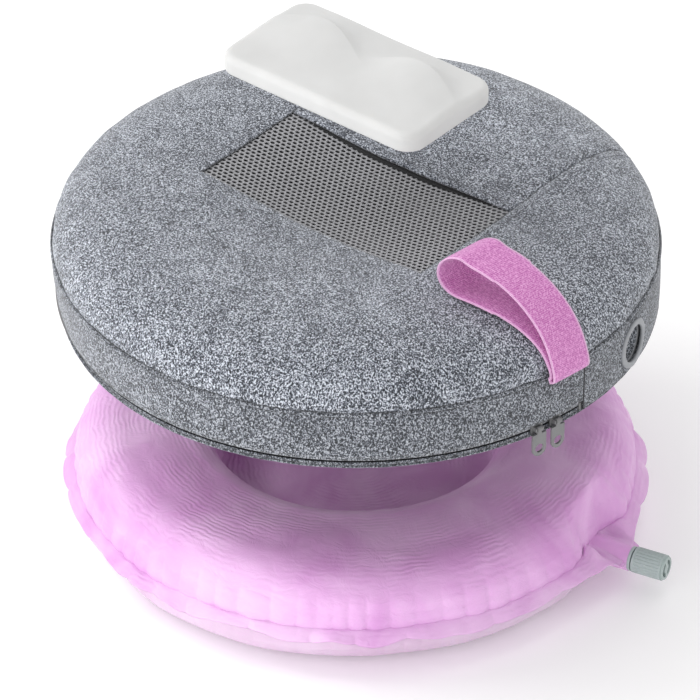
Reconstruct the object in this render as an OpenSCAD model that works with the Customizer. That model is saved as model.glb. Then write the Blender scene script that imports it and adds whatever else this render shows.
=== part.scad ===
// Wobble cushion for balance exercise: an air cell, a zipped cover and a massage pad, held apart in one line.

/* [Overall] */
// Outer radius of the cover
cover_radius = 204.5; // [190:0.5:220]
// Height of the cover's base above the floor at rest
cover_rest = 179; // [100:1:220]
// Height of the massage pad's base above the floor at rest
pad_rest = 343; // [290:1:400]

/* [Cover] */
// Height of the seam between the side band and the top panel
seam_height = 42.3; // [40:0.1:46]
// Radius of the piping cord in that seam
piping_radius = 1.3; // [1:0.1:2]
// Height of the crown's highest ring above the cover's base
crown_height = 82; // [80:0.5:90]
// How far the crown dips at its centre
crown_dip = 9; // [6:0.5:10]
// Radius of the crown's highest ring
crown_radius = 132; // [126:1:140]
// Thickness of the top and band fabric with its backing
fabric = 2.5; // [2:0.1:3]
// Thickness of the base fabric
base_fabric = 1.6; // [1:0.1:1.7]
// Width of the mesh window
window_width = 188; // [180:1:192]
// Depth of the mesh window
window_depth = 96; // [94:1:100]
// Thickness of the mesh
mesh_thickness = 1.2; // [0.8:0.1:1.4]
// Height of the pocket's floor above the cover's base
pocket_floor = 37.3; // [37.2:0.1:38]
// Lower edge of the side band above the zip
band_edge = 9; // [9:0.1:12]
// Direction of the band's upright seam, in degrees
band_seam = -3.7; // [-5:0.1:0]
// Length of the vent panel round the band, in degrees
vent_sweep = 140; // [120:1:141]

/* [Vent] */
// Direction of the valve and its eyelet, in degrees
valve_angle = 13; // [8:0.5:30]
// Height of the eyelet's centre above the cover's base
eyelet_height = 20; // [19:0.5:22]
// Outer radius of the eyelet
eyelet_radius = 17.5; // [16:0.1:18]
// Radius of the eyelet's opening
eyelet_opening = 13; // [11:0.1:13.5]

/* [Zip] */
// Direction of the left slider, in degrees
slider_left_angle = -15.3; // [-30:0.5:-14]
// Direction of the right slider, in degrees
slider_right_angle = -11; // [-11.5:0.5:-9.5]
// Length of a pull tab
tab_length = 21; // [18:1:32]
// Width of a pull tab
tab_width = 11; // [7:0.5:12]

/* [Strap] */
// Direction of the carry strap's root, in degrees
strap_angle = -8.6; // [-12:0.2:-5]
// Width of the strap's elastic webbing
strap_width = 34; // [25:1:40]
// Thickness of the webbing
strap_thickness = 1.6; // [1.2:0.1:1.8]
// Rise of the loop's round end above the crown
loop_rise = 32; // [20:1:36]
// How far the strap leans to the front for each mm it reaches in
lean = 0.33; // [0:0.01:0.4]

/* [Air cell] */
// Outer radius of the welded flange
flange_radius = 198; // [195:0.5:198]
// Height of the weld plane above the floor
weld_height = 36; // [35:0.5:37]
// Thickness of each skin
skin = 0.8; // [0.6:0.1:0.8]
// Height of the valve axis above the floor
valve_height = 22; // [20:0.5:23]

/* [Massage pad] */
// Length of the pad
pad_length = 166; // [150:1:167]
// Depth of the pad
pad_depth = 90; // [80:1:91]
// Thickness of the pad's plate
pad_plate = 14; // [10:0.5:15]
// Rise of the two domes above the plate
dome_rise = 16; // [8:0.5:16]
// Distance between the two domes
dome_pitch = 84; // [80:1:86]

/* [Hidden] */
$fn = 96;

grow = cover_radius - 204.5;
band_outer = cover_radius;
band_inner = cover_radius - fabric;
crown_edge = cover_radius - 1;
edge_z = seam_height + piping_radius;
span = crown_edge - crown_radius;
rise = crown_height - edge_z;
power = 2.2;
band_top = seam_height - piping_radius;
zip_start = band_seam - 0.9;
zip_end = band_seam - 213.7;
teeth_in = cover_radius - 4.3;
teeth_out = cover_radius - 1.9;
post_z = 4.35;
pin_r = cover_radius + 2.3;
pin_z = 6.5;
slider_sweep = 2.5;

// The crown's section: a shallow cosine dish inside the high ring, a rounded shoulder outside it.
function dish(r) = crown_height - crown_dip * (1 + cos(180 * r / crown_radius)) / 2;
function shoulder(a, w, h) = [crown_radius + w * pow(sin(a), 2 / power), edge_z + h * pow(cos(a), 2 / power)];
function side(a) = let (u = pow(sin(a), 2 / power), v = pow(cos(a), 2 / power),
    g = [pow(u, power - 1) / span, pow(v, power - 1) / rise]) g / norm(g);
function off(a, d) = shoulder(a, span, rise) + d * side(a);
function back(list) = [for (i = [len(list) - 1 : -1 : 0]) list[i]];
crown_out = concat([for (r = [0 : 12 : crown_radius - 1]) [r, dish(r)]],
    [for (a = [0 : 7.5 : 90]) shoulder(a, span, rise)]);
crown_in = concat([for (r = [0 : 12 : crown_radius - 1]) [r, dish(r) - fabric]],
    [for (a = [0 : 7.5 : 90]) shoulder(a, span - fabric, rise - fabric)]);
function layer(top, low) = concat([for (r = [0 : 12 : crown_radius - 1]) [r, dish(r) - top]],
    back([for (r = [0 : 12 : crown_radius - 1]) [r, dish(r) - low]]));

module ring(r1, r2, z1, z2) rotate_extrude() translate([r1, z1]) square([r2 - r1, z2 - z1]);
module sector(a1, a2, r1, r2, z1, z2)
    rotate([0, 0, a1]) rotate_extrude(angle = a2 - a1) translate([r1, z1]) square([r2 - r1, z2 - z1]);
module plate(l, w, r, h) linear_extrude(height = h) {
    square([l - 2 * r, w], center = true);
    square([l, w - 2 * r], center = true);
    for (x = [-1, 1], y = [-1, 1]) translate([x * (l / 2 - r), y * (w / 2 - r)]) circle(r);
}
module along(r1, r2, radius) translate([r1, 0, 0]) rotate([0, 90, 0]) cylinder(h = r2 - r1, r = radius);
module to_cover() translate([0, 0, cover_rest]) children();
module to_valve() rotate([0, 0, valve_angle]) translate([0, 0, valve_height]) children();
module to_eyelet() rotate([0, 0, valve_angle]) translate([0, 0, eyelet_height]) children();

// Air cell
module upper_skin() color([0.84, 0.72, 0.84]) rotate_extrude() polygon([
    [0, 34.5], [95.2, 34.5], [96, 35.3], [97, 66], [101, 71.5], [110, 74], [130, 76], [150 + grow, 75],
    [165 + grow, 71], [177 + grow, 63], [186 + grow, 52], [190.5 + grow, 43], [191.8 + grow, weld_height + 0.6],
    [flange_radius, weld_height + 0.6], [flange_radius, weld_height], [191 + grow, weld_height],
    [190.4 + grow - skin, 42.7], [186 + grow - skin, 51.5], [176.5 + grow, 62.4], [164.6 + grow, 71 - skin],
    [149.8 + grow, 75 - skin], [130, 76 - skin], [110.2, 74 - skin], [101.6, 70.8], [97.8, 65.7],
    [96 + skin, 34.5 - skin], [0, 34.5 - skin]]);

module lower_skin() color([0.88, 0.76, 0.87]) difference() {
    rotate_extrude() polygon([
        [0, 0], [160 + grow, 0], [172 + grow, 2.2], [181 + grow, 7], [187 + grow, 14], [190.5 + grow, 23],
        [191.5 + grow, 31], [191.8 + grow, weld_height - 0.6], [flange_radius, weld_height - 0.6],
        [flange_radius, weld_height], [191 + grow, weld_height], [191.5 + grow - skin, 31],
        [190.5 + grow - skin, 23.2], [187 + grow - skin, 14.4], [180.5 + grow, 7.7], [171.7 + grow, 3],
        [160 + grow, skin], [0, skin]]);
    to_valve() along(170, 200, 8);
}

module foam_core() color([0.93, 0.9, 0.78]) difference() {
    rotate_extrude() polygon([
        [0, 1.1], [160 + grow, 1.1], [171.5 + grow, 3.4], [180.2 + grow, 8.1], [185.8 + grow, 14.6],
        [189.3 + grow, 23.3], [190.3 + grow, 31], [190.3 + grow, 36], [189.2 + grow, 42.4], [184.8 + grow, 51.2],
        [176.1 + grow, 62], [164.3 + grow, 69.8], [149.7 + grow, 73.8], [130, 74.8], [110.4, 72.8],
        [102, 70.3], [98.2, 65.4], [97.2, 33.3], [0, 33.3]]);
    to_valve() along(174, 200, 8.4);
}

module valve_boot() color([0.83, 0.7, 0.83]) to_valve() difference() {
    along(176, 208, 8);
    along(175, 209, 5.05);
}

module valve_body() color([0.62, 0.66, 0.64]) to_valve() difference() {
    union() {
        along(178, 208.1, 5);
        along(208.05, 210, 8.5);
        along(209.9, 224, 6);
    }
    along(177, 206.1, 3);
    along(206, 225, 4.2);
    difference() {
        along(208, 208.95, 7.1);
        along(207.9, 209, 6.1);
    }
}

module valve_o_ring() color([0.1, 0.1, 0.1]) to_valve() translate([208.5, 0, 0]) rotate([0, 90, 0])
    rotate_extrude() translate([6.6, 0]) circle(0.44, $fn = 32);

module valve_plunger() color([0.78, 0.8, 0.79]) to_valve() {
    along(208.3, 227.4, 1.8);
    along(208.3, 209.8, 3.7);
}

module valve_seal() color([0.12, 0.12, 0.12]) to_valve() along(206.4, 208.3, 3.8);

module valve_cap() color([0.69, 0.74, 0.73]) to_valve() difference() {
    union() {
        along(211, 232.5, 9);
        along(232.4, 234, 8);
    }
    along(210.9, 228, 6.4);
    for (a = [0 : 15 : 345]) rotate([a, 0, 0]) translate([0, 9.3, 0]) along(213, 231, 0.7, $fn = 24);
    for (a = [0, 180]) rotate([a, 0, 0]) intersection() {
        difference() {
            along(231, 234.1, 6.2);
            along(230.9, 234.2, 3.2);
        }
        translate([230, 1.4, -7]) cube([5, 7, 14]);
    }
}

// Cover
module crown_shell() rotate_extrude() polygon(concat(crown_out, back(crown_in)));

module top_panel() color([0.74, 0.75, 0.77]) to_cover() difference() {
    crown_shell();
    translate([-window_width / 2, -window_depth / 2, 40]) cube([window_width, window_depth / 2 + 260, 60]);
}

module rear_panel() color([0.72, 0.73, 0.75]) to_cover() intersection() {
    crown_shell();
    translate([-window_width / 2, window_depth / 2, 40]) cube([window_width, 260, 60]);
}

module mesh_panel() color([0.5, 0.5, 0.52]) to_cover() intersection() {
    rotate_extrude() polygon(layer(fabric, fabric + mesh_thickness));
    translate([0, 0, 40]) plate(window_width + 8, window_depth + 8, 14, 60);
}

module pocket_liner() color([0.6, 0.6, 0.62]) to_cover() difference() {
    union() {
        intersection() {
            rotate_extrude() polygon(layer(fabric + mesh_thickness, fabric + mesh_thickness + 1));
            translate([0, 0, 40]) plate(window_width + 8, window_depth + 8, 14, 60);
        }
        intersection() {
            translate([0, 0, pocket_floor]) plate(172, 96, 14, 50);
            rotate_extrude() polygon(concat([[0, 30], [120, 30]],
                back([for (r = [0 : 12 : 120]) [r, dish(r) - fabric - mesh_thickness]])));
        }
    }
    translate([0, 0, pocket_floor + 1]) plate(170, 94, 13, 60);
}

module side_band() color([0.73, 0.74, 0.76]) to_cover()
    sector(band_seam - 360 + vent_sweep, band_seam, band_inner, band_outer, band_edge, band_top);

module vent_panel() color([0.71, 0.72, 0.74]) to_cover() difference() {
    sector(band_seam, band_seam + vent_sweep, band_inner, band_outer, base_fabric, band_top);
    to_eyelet() along(190, 215, eyelet_opening + 1.5);
}

module top_piping() color([0.85, 0.85, 0.86]) to_cover() rotate_extrude()
    translate([cover_radius - 1.1, seam_height]) circle(piping_radius, $fn = 32);

module base_panel() color([0.2, 0.2, 0.22]) to_cover() cylinder(h = base_fabric, r = cover_radius - 3.5);

module base_binding() color([0.68, 0.69, 0.71]) to_cover() ring(cover_radius - 3.5, band_outer, 0, base_fabric);

module zip_teeth_upper() color([0.25, 0.25, 0.27]) to_cover()
    sector(zip_end, zip_start, teeth_in, teeth_out, 5, 7);

module zip_teeth_lower() color([0.25, 0.25, 0.27]) to_cover()
    sector(zip_end, zip_start, teeth_in, teeth_out, base_fabric, 3.7);

module zip_tape() color([0.3, 0.3, 0.32]) to_cover()
    sector(zip_end, zip_start, band_inner - 0.8, band_inner, 7, 15);

module zip_stop_start() color([0.7, 0.7, 0.7]) to_cover()
    sector(zip_start, zip_start + 0.6, teeth_in, cover_radius - 1.3, base_fabric, 7);

module zip_stop_end() color([0.7, 0.7, 0.7]) to_cover()
    sector(zip_end - 0.6, zip_end, teeth_in, cover_radius - 1.3, base_fabric, 7);

module slider(angle) to_cover() {
    sector(angle - slider_sweep / 2, angle + slider_sweep / 2, cover_radius - 5.9, cover_radius - 4.7, 2, 8.6);
    sector(angle - slider_sweep / 2, angle + slider_sweep / 2, cover_radius - 1.5, cover_radius - 0.1, 2, 8.6);
    sector(angle - 0.6, angle + 0.6, cover_radius - 5, cover_radius - 1.2, post_z - 0.3, post_z + 0.3);
    rotate([0, 0, angle]) {
        for (y = [-3.2, 2.2]) translate([cover_radius - 0.4, y, pin_z - 1.3]) cube([3.7, 1, 2.6]);
        translate([pin_r, -2.4, pin_z]) rotate([-90, 0, 0]) cylinder(h = 4.8, r = 0.6);
    }
}
module zip_slider_left() color([0.78, 0.79, 0.8]) slider(slider_left_angle);
module zip_slider_right() color([0.78, 0.79, 0.8]) slider(slider_right_angle);

module pull(angle) to_cover() rotate([0, 0, angle]) translate([pin_r, 0, pin_z]) difference() {
    union() {
        translate([0, -1.8, 0]) rotate([-90, 0, 0]) cylinder(h = 3.6, r = 1.8);
        translate([-0.7, -1.8, -4]) cube([1.4, 3.6, 4]);
        translate([-0.7, 0, 0]) rotate([90, 0, 90]) linear_extrude(height = 1.4) {
            translate([-tab_width / 2, tab_width / 2 - tab_length]) square([tab_width, tab_length - tab_width / 2 - 3.5]);
            translate([0, tab_width / 2 - tab_length]) circle(tab_width / 2);
        }
    }
    translate([0, -2, 0]) rotate([-90, 0, 0]) cylinder(h = 4, r = 1);
    translate([-1, 0, tab_width / 2 - tab_length + 0.5]) along(0, 2, tab_width / 2 - 2.2);
}
module zip_pull_left() color([0.82, 0.83, 0.84]) pull(slider_left_angle);
module zip_pull_right() color([0.82, 0.83, 0.84]) pull(slider_right_angle);

// Strap
anchor_sweep = 2 * asin(strap_width / 2 / cover_radius);
module strap_anchor() color([0.72, 0.35, 0.62]) to_cover()
    rotate([0, 0, strap_angle - anchor_sweep / 2]) rotate_extrude(angle = anchor_sweep) polygon([
        [cover_radius, 33], [cover_radius + 1.9, 33], [cover_radius + 1.9, edge_z],
        [cover_radius + 0.3, edge_z], [cover_radius + 0.3, 37], [cover_radius, 37]]);

function gap(a) = strap_thickness + 1 + (loop_rise - 5) * pow(cos(a), 1.5);
end_r = loop_rise / 2;
end_a = 6;
end_at = off(end_a, 0.7 + end_r);
end_turn = atan2(side(end_a)[1], side(end_a)[0]);
function turn(r) = [for (b = [0 : 15 : 180]) end_at + r * [cos(end_turn + b), sin(end_turn + b)]];
loop_outer = concat([[cover_radius + 3.5, edge_z + 0.6], [cover_radius + 3.1, edge_z + 5]],
    [for (a = [78 : -6 : 12]) off(a, gap(a) + strap_thickness)], turn(end_r), [for (a = [12 : 6 : 78]) off(a, 0.7)],
    [[cover_radius + 0.9, edge_z + 3.2], [cover_radius + 2, edge_z + 0.6]]);
loop_inner = concat([for (a = [72 : -6 : 12]) off(a, gap(a))], turn(end_r - strap_thickness),
    [for (a = [12 : 6 : 72]) off(a, 0.7 + strap_thickness)]);
module carry_strap() color([0.86, 0.5, 0.77]) to_cover() rotate([0, 0, strap_angle]) intersection() {
    translate([0, strap_width / 2, 0]) rotate([90, 0, 0]) linear_extrude(height = strap_width + 46) difference() {
        polygon(loop_outer);
        polygon(loop_inner);
    }
    translate([0, 0, 30]) linear_extrude(height = 120) polygon([[215, -strap_width / 2], [215, strap_width / 2],
        [205, strap_width / 2], [90, strap_width / 2 - 115 * lean], [90, -strap_width / 2 - 115 * lean],
        [205, -strap_width / 2]]);
}

// Vent
module vent_eyelet() color([0.8, 0.8, 0.81]) to_cover() difference() {
    union() {
        intersection() {
            ring(band_outer, band_outer + 1.2, 0, 40);
            to_eyelet() along(190, 215, eyelet_radius);
        }
        intersection() {
            ring(band_inner, band_outer + 0.1, 0, 40);
            to_eyelet() along(190, 215, eyelet_opening + 1.5);
        }
    }
    to_eyelet() along(190, 215, eyelet_opening);
}

module eyelet_backing() color([0.76, 0.76, 0.77]) to_cover() difference() {
    intersection() {
        ring(band_inner - 1.2, band_inner, 0, 40);
        to_eyelet() along(190, 215, eyelet_radius);
    }
    to_eyelet() along(190, 215, eyelet_opening);
}

// Massage pad
soft = 4;
corner = 14;
dome_base = 40;
dome_r = (dome_base * dome_base + dome_rise * dome_rise) / (2 * dome_rise);
module massage_pad() color([0.95, 0.95, 0.94]) translate([0, 0, pad_rest]) {
    plate(pad_length, pad_depth, corner, pad_plate - soft);
    plate(pad_length - 2 * soft, pad_depth - 2 * soft, corner - soft, pad_plate);
    for (x = [-1, 1], y = [-1, 1]) translate([x * (pad_length / 2 - corner), y * (pad_depth / 2 - corner), pad_plate - soft])
        rotate_extrude() intersection() {
            translate([corner - soft, 0]) circle(soft, $fn = 48);
            square([corner, soft]);
        }
    for (y = [-1, 1]) translate([corner - pad_length / 2, y * (pad_depth / 2 - soft), pad_plate - soft])
        rotate([0, 90, 0]) cylinder(h = pad_length - 2 * corner, r = soft);
    for (x = [-1, 1]) translate([x * (pad_length / 2 - soft), corner - pad_depth / 2, pad_plate - soft])
        rotate([-90, 0, 0]) cylinder(h = pad_depth - 2 * corner, r = soft);
    for (x = [-1, 1]) translate([x * dome_pitch / 2, 0, 0]) intersection() {
        translate([0, 0, pad_plate + dome_rise - dome_r]) sphere(dome_r);
        translate([0, 0, 5]) cylinder(h = 40, r = dome_base);
    }
}

upper_skin();
lower_skin();
foam_core();
valve_boot();
valve_body();
valve_o_ring();
valve_plunger();
valve_seal();
valve_cap();
top_panel();
rear_panel();
mesh_panel();
pocket_liner();
side_band();
vent_panel();
top_piping();
base_panel();
base_binding();
zip_teeth_upper();
zip_teeth_lower();
zip_tape();
zip_stop_start();
zip_stop_end();
zip_slider_left();
zip_slider_right();
zip_pull_left();
zip_pull_right();
strap_anchor();
carry_strap();
vent_eyelet();
eyelet_backing();
massage_pad();
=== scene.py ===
import bpy, math
import numpy as np
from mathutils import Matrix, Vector


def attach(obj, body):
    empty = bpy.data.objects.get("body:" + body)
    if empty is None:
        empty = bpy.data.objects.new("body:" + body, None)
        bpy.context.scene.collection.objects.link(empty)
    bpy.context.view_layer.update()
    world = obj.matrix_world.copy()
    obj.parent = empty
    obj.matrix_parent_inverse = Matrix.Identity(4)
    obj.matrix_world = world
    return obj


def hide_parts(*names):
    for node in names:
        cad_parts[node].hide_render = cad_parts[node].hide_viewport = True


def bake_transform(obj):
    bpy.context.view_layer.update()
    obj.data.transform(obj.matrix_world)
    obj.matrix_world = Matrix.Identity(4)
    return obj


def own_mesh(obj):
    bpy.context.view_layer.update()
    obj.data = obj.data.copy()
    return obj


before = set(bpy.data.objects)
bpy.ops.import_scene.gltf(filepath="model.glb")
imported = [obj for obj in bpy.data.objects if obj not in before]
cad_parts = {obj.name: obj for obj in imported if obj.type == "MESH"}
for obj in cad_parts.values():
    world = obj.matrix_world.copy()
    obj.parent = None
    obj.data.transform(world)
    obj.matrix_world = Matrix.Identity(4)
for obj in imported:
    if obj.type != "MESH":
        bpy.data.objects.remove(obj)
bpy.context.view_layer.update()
MM = 0.001
PI = math.pi

# ---------------------------------------------------------------- sizes, in mm, as in the CAD
LIFT = 179.0                                     # the cover's underside at rest
PAD = 343.0                                      # the pad's underside at rest
R = 204.5                                        # the cover's outer radius
SEAM = 42.3                                      # the piping's height over the cover's underside
EDGE = 43.6                                      # where the crown starts, over the same
BAND_TOP = 41.2                                  # the band cloth's upper edge, over the same
EYELET_Z = 20.0                                  # the eyelet's middle, over the same
CROWN, DIP, RING = 82.0, 9.0, 132.0              # the crown's height, its dish, and the high ring's radius
SPAN, RISE, POW = R - 1 - RING, CROWN - EDGE, 2.2    # the shoulder outside the ring
WX, WY = 94.0, 48.0                              # half the window
VALVE, VZ = math.radians(13.0), 22.0             # the valve's bearing and height
NECK = 195.0                                     # radius where widths round the valve are measured
STRAP, STRAP_W = math.radians(-8.6), 34.0        # the strap's bearing and width
BAND0 = math.radians(-3.7)                       # the band's upright seam
VENT = math.radians(140.0)                       # the vent panel's sweep
WELD_Z, WELD_R = 36.0, 192.0                     # the line where the two skins meet
CLOTH, BAND_CLOTH, THIN = 2.0, 1.9, 0.5          # thickness of the crown's cloth, the band's, and thin strips


# ---------------------------------------------------------------- helpers
def wob(x, y, seed, period=256):
    """Smooth noise from -1 to 1; it repeats after `period` steps of x."""
    t = np.random.RandomState(seed).uniform(-1, 1, (period, 256))
    x, y = np.broadcast_arrays(np.asarray(x, float), np.asarray(y, float))
    i, j = np.floor(x).astype(int), np.floor(y).astype(int)
    a, b = x - i, y - j
    a, b = a * a * (3 - 2 * a), b * b * (3 - 2 * b)
    i0, i1, j0, j1 = i % period, (i + 1) % period, j % 256, (j + 1) % 256
    return (t[i0, j0] * (1 - a) + t[i1, j0] * a) * (1 - b) + (t[i0, j1] * (1 - a) + t[i1, j1] * a) * b


def step(x, a, b):
    """Smooth step from 0 at a to 1 at b."""
    t = np.clip((np.asarray(x, float) - a) / (b - a), 0, 1)
    return t * t * (3 - 2 * t)


def around(theta):
    """Theta as a share of a turn."""
    return np.asarray(theta) / (2 * PI)


def bearing(theta, at):
    """Angle from `at` to theta, from -PI to PI."""
    return (theta - at + PI) % (2 * PI) - PI


def distances(p):
    """Distance along the path p to each of its points."""
    return np.concatenate([[0], np.cumsum(np.linalg.norm(np.diff(p, axis=0), axis=1))])


def relax(p, times):
    """Evens out the rows of p in place, the first and the last apart."""
    for _ in range(times):
        p[1:-1] = 0.25 * p[:-2] + 0.5 * p[1:-1] + 0.25 * p[2:]


def cyl(r, theta, z):
    """Points from cylinder coordinates."""
    r, theta, z = np.broadcast_arrays(r, theta, z)
    return np.stack([r * np.cos(theta), r * np.sin(theta), z], -1)


def shade(o, smooth=True):
    o.data.polygons.foreach_set("use_smooth", [smooth] * len(o.data.polygons))
    return o


def make(name, verts, faces, body=None, mat=None, slot=None, stands=(), smooth=True):
    """A mesh piece from vertices in mm, with its body, material and the CAD nodes it stands for; slot is not
    used.
    """
    me = bpy.data.meshes.new(name)
    me.from_pydata((np.asarray(verts, float).reshape(-1, 3) * MM).tolist(), [], faces)
    me.update()
    o = bpy.data.objects.new(name, me)
    bpy.context.scene.collection.objects.link(o)
    shade(o, smooth)
    if mat is not None:
        me.materials.append(mat)
    if body:
        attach(o, body)
    if stands:
        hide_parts(*stands)
    return o


def quads(nu, nv, wrap_u=False, wrap_v=False, flip=False, base=0):
    """Faces of a grid of nu by nv vertices, numbered from base."""
    out = []
    for i in range(nu if wrap_u else nu - 1):
        i2 = (i + 1) % nu
        for j in range(nv if wrap_v else nv - 1):
            j2 = (j + 1) % nv
            f = (base + i * nv + j, base + i2 * nv + j, base + i2 * nv + j2, base + i * nv + j2)
            out.append(f[::-1] if flip else f)
    return out


def grid(name, p, wrap_u=False, wrap_v=False, flip=False, **kw):
    nu, nv = p.shape[:2]
    return make(name, p.reshape(-1, 3), quads(nu, nv, wrap_u, wrap_v, flip), **kw)


def thick(o, t):
    """Gives a sheet its thickness t, inwards from the surface drawn."""
    m = o.modifiers.new("thickness", "SOLIDIFY")
    m.thickness, m.offset = t * MM, -1.0
    m.use_even_offset = False
    return o


def frames(path, closed=False):
    """Unit tangents along a path."""
    d = np.roll(path, -1, 0) - np.roll(path, 1, 0) if closed else np.gradient(path, axis=0)
    return d / np.maximum(np.linalg.norm(d, axis=1, keepdims=True), 1e-9)


def tube(name, path, radius, up=(0, 0, 1), n=12, closed=False, **kw):
    """A round cord along a path."""
    path = np.asarray(path, float)
    d = frames(path, closed)
    up = np.broadcast_to(np.asarray(up, float), path.shape)
    s = np.cross(d, up)
    s /= np.maximum(np.linalg.norm(s, axis=1, keepdims=True), 1e-9)
    t = np.cross(s, d)
    a = np.linspace(0, 2 * PI, n, endpoint=False)
    ca, sa = np.cos(a)[None, :, None], np.sin(a)[None, :, None]
    p = path[:, None] + radius * (ca * s[:, None] + sa * t[:, None])
    if closed:
        return grid(name, p, True, True, **kw)
    faces = quads(len(path), n, False, True)
    faces += [tuple(range(n))[::-1], tuple((len(path) - 1) * n + k for k in range(n))]
    return make(name, p.reshape(-1, 3), faces, **kw)


def resample(path, pitch):
    """Evenly spaced points along a path."""
    path = np.asarray(path, float)
    s = distances(path)
    k = max(2, int(s[-1] / pitch))
    at = np.linspace(0, s[-1], k)
    return np.stack([np.interp(at, s, path[:, c]) for c in range(3)], -1)


def stitches(name, path, normal, pitch=3.4, length=2.5, width=0.42, high=0.3, **kw):
    """A row of thread stitches: each a small pointed bead lying along the seam."""
    mid = resample(path, pitch)
    d = frames(mid)
    at, given = np.linspace(0, 1, len(mid)), np.linspace(0, 1, len(normal))
    n = np.stack([np.interp(at, given, normal[:, c]) for c in range(3)], -1)
    n -= (n * d).sum(1, keepdims=True) * d
    n /= np.linalg.norm(n, axis=1, keepdims=True)
    s = np.cross(d, n)
    rows = [(-0.5, 0.25), (-0.36, 0.8), (0, 1.0), (0.36, 0.8), (0.5, 0.25)]
    verts, faces = [], []
    m = 6
    for k in range(len(mid)):
        base = len(verts)
        for f, w in rows:
            lift = high * (1 - (2 * f) ** 2) * 0.8 - 0.1
            for a in range(m):
                t = 2 * PI * a / m
                out, over = lift + math.sin(t) * width * w, math.cos(t) * width * w
                verts.append(mid[k] + d[k] * f * length + n[k] * out + s[k] * over)
        faces += quads(len(rows), m, False, True, base=base)
        end = base + (len(rows) - 1) * m
        faces += [tuple(base + a for a in range(m))[::-1], tuple(end + a for a in range(m))]
    return make(name, np.array(verts), faces, **kw)


# ---------------------------------------------------------------- materials
def material(name, rough=0.6, **sockets):
    """A new material, its node tree and its Principled shader."""
    m = bpy.data.materials.new(name)
    m.use_nodes = True
    t = m.node_tree
    t.nodes.clear()
    out = t.nodes.new("ShaderNodeOutputMaterial")
    b = t.nodes.new("ShaderNodeBsdfPrincipled")
    t.links.new(b.outputs[0], out.inputs[0])
    b.inputs["Roughness"].default_value = rough
    for k, v in sockets.items():
        b.inputs[k.replace("_", " ")].default_value = v
    return m, t, b


def node(t, kind, **props):
    """A node of tree t; names that start with in_ set its inputs, the others its properties."""
    n = t.nodes.new(kind)
    for k, v in props.items():
        if k.startswith("in_"):
            n.inputs[k[3:].replace("_", " ")].default_value = v
        else:
            setattr(n, k, v)
    return n


def coords(t, scale=(1, 1, 1)):
    c = t.nodes.new("ShaderNodeTexCoord")
    if scale == (1, 1, 1):
        return c.outputs["Object"]
    m = t.nodes.new("ShaderNodeMapping")
    m.inputs["Scale"].default_value = scale
    t.links.new(c.outputs["Object"], m.inputs[0])
    return m.outputs[0]


def noise(t, where, scale, detail=2.0, rough=0.5, distort=0.0):
    n = node(t, "ShaderNodeTexNoise", in_Scale=scale, in_Detail=detail, in_Roughness=rough,
             in_Distortion=distort)
    t.links.new(where, n.inputs["Vector"])
    return n.outputs["Fac"]


def ramp(t, fac, *stops):
    r = t.nodes.new("ShaderNodeValToRGB")
    e = r.color_ramp.elements
    while len(e) < len(stops):
        e.new(0.5)
    for k, (pos, col) in enumerate(stops):
        e[k].position = pos
        e[k].color = (*col, 1) if len(col) == 3 else col
    t.links.new(fac, r.inputs[0])
    return r.outputs[0]


def mixc(t, fac, a, b):
    """Colour from a to b; each argument is a socket or a value."""
    m = node(t, "ShaderNodeMix", data_type="RGBA", blend_type="MIX")
    for sock, val in ((m.inputs[0], fac), (m.inputs[6], a), (m.inputs[7], b)):
        if isinstance(val, bpy.types.NodeSocket):
            t.links.new(val, sock)
        else:
            sock.default_value = val if isinstance(val, (int, float)) else (*val, 1)
    return m.outputs[2]


def math_(t, op, a, b=None):
    m = node(t, "ShaderNodeMath", operation=op, use_clamp=False)
    for sock, val in ((m.inputs[0], a), (m.inputs[1], b)):
        if val is None:
            continue
        if isinstance(val, bpy.types.NodeSocket):
            t.links.new(val, sock)
        else:
            sock.default_value = val
    return m.outputs[0]


def add(t, a, b):
    return math_(t, "ADD", a, b)


def mul(t, a, b):
    return math_(t, "MULTIPLY", a, b)


def bump(t, b, height, strength, distance):
    n = node(t, "ShaderNodeBump", in_Strength=strength, in_Distance=distance)
    t.links.new(height, n.inputs["Height"])
    t.links.new(n.outputs[0], b.inputs["Normal"])


def melange_material(name, k):
    """Grey melange: fine dark and light fibres; k is how light the cloth is."""
    m, t, b = material(name, 0.95, Sheen_Weight=0.25, Sheen_Roughness=0.6)
    c = coords(t)
    fine = noise(t, c, 1400, 1.0, 0.6)
    fibre = noise(t, coords(t, (1, 1, 0.7)), 1000, 1.0, 0.6, 0.8)
    cloud = noise(t, c, 60, 2.0, 0.5)
    mix = add(t, mul(t, fine, 0.3), mul(t, fibre, 0.7))
    mix = add(t, mix, mul(t, math_(t, "SUBTRACT", cloud, 0.5), 0.08))
    fibres = ((0.435, (0.014, 0.018, 0.026)), (0.485, (0.075, 0.085, 0.112)),
              (0.53, (0.26, 0.285, 0.345)), (0.58, (0.78, 0.82, 0.90)))
    col = ramp(t, mix, *((at, tuple(x * k for x in shade_)) for at, shade_ in fibres))
    t.links.new(col, b.inputs["Base Color"])
    bump(t, b, mix, 0.55, 0.0012)
    return m


def mesh_material():
    m, t, b = material("mesh_knit", 0.8, Sheen_Weight=0.15)
    c = coords(t)
    f = noise(t, c, 1500, 2.0)
    t.links.new(ramp(t, f, (0.35, (0.24, 0.24, 0.25)), (0.65, (0.44, 0.44, 0.46))), b.inputs["Base Color"])
    bump(t, b, f, 0.4, 0.0005)
    return m


def either_side(col, spread):
    """A darker and a lighter tone of col."""
    return tuple(x * (1 - spread) for x in col), tuple(min(1, x * (1 + spread)) for x in col)


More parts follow.
